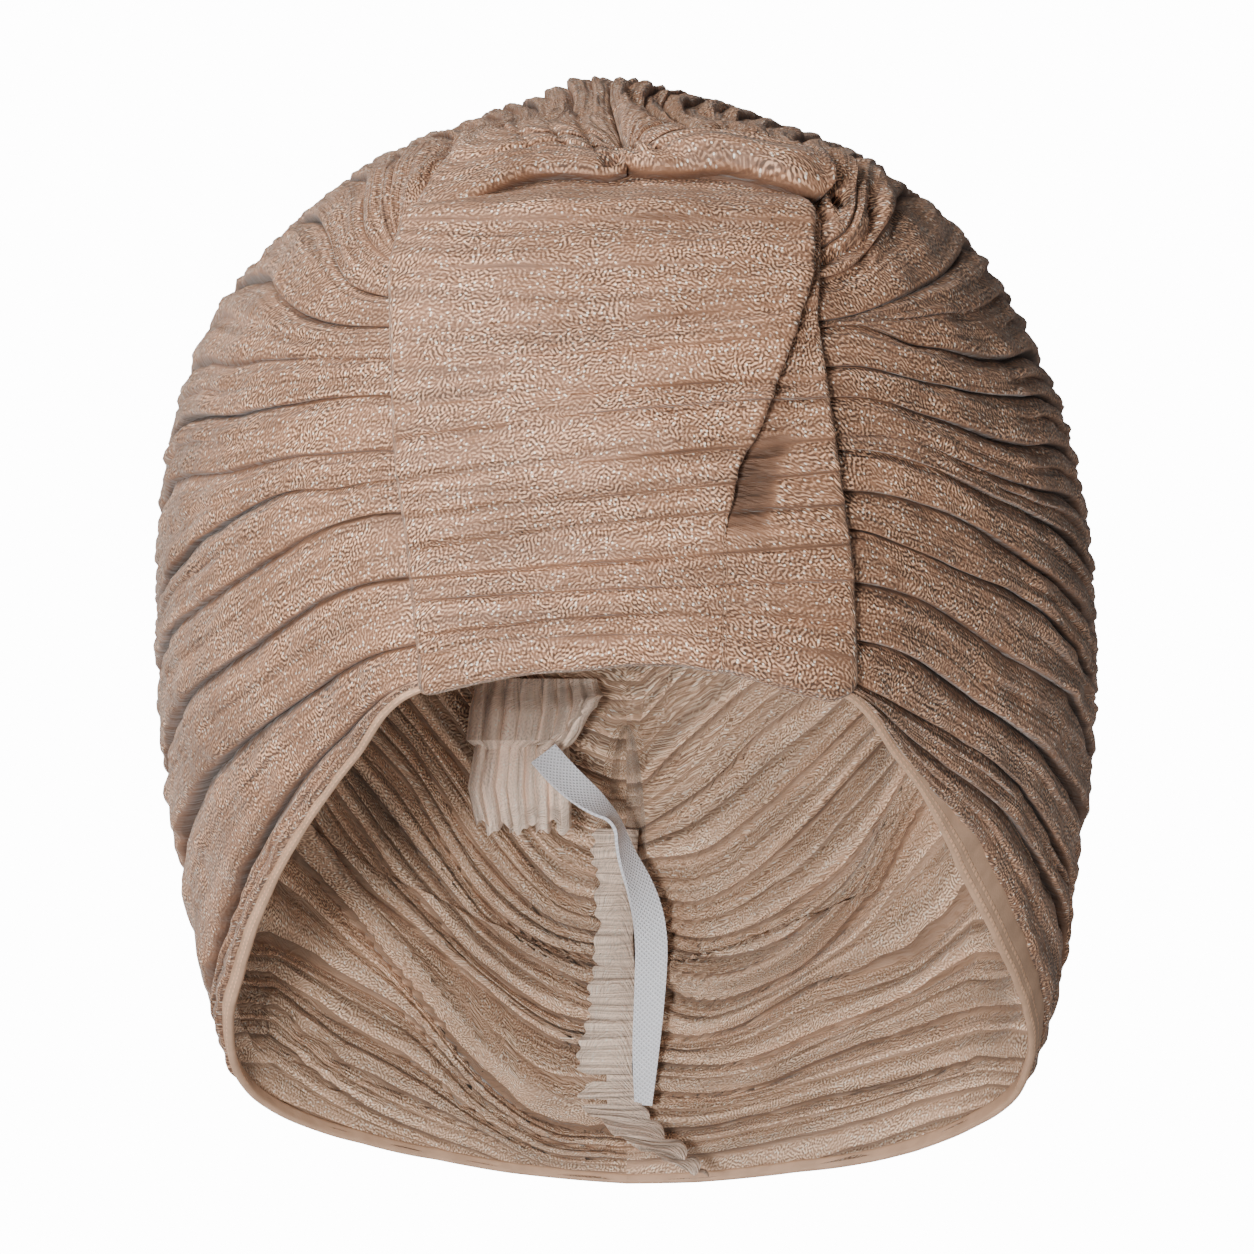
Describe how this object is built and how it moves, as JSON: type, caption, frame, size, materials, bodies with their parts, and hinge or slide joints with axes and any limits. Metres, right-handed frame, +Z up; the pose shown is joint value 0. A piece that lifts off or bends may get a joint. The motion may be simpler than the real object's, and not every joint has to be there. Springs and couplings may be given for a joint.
{
  "type": "pleated turban hat",
  "caption": "Soft pleated turban hat of shimmering knit, shown as worn, with a wide pleated band folded over the gathered front and an elastic inside the nape.",
  "frame": {"origin": "the point inside the top of the crown where the top of a head touches the cloth", "axes": "+Z up along the worn head, -Y towards the face, +X to the right as seen from the front"},
  "size_m": [0.1915, 0.2086, 0.2279],
  "materials": {
    "pleated_cloth": "crinkled pleated knit with fine metallic strands",
    "hem_cloth": "smooth turned knit edge with a stitched line",
    "raw_cloth": "pale gathered reverse of the knit with raw frilled edges",
    "white_elastic": "matt knitted elastic tape"
  },
  "bodies": {
    "root": {"crown_left": "pleated_cloth", "crown_right": "pleated_cloth", "front_band": "pleated_cloth", "rim_hem_left": "hem_cloth", "rim_hem_right": "hem_cloth", "seam_allowance": "raw_cloth", "gathered_end": "raw_cloth", "elastic_tape": "white_elastic"}
  },
  "joints": []
}
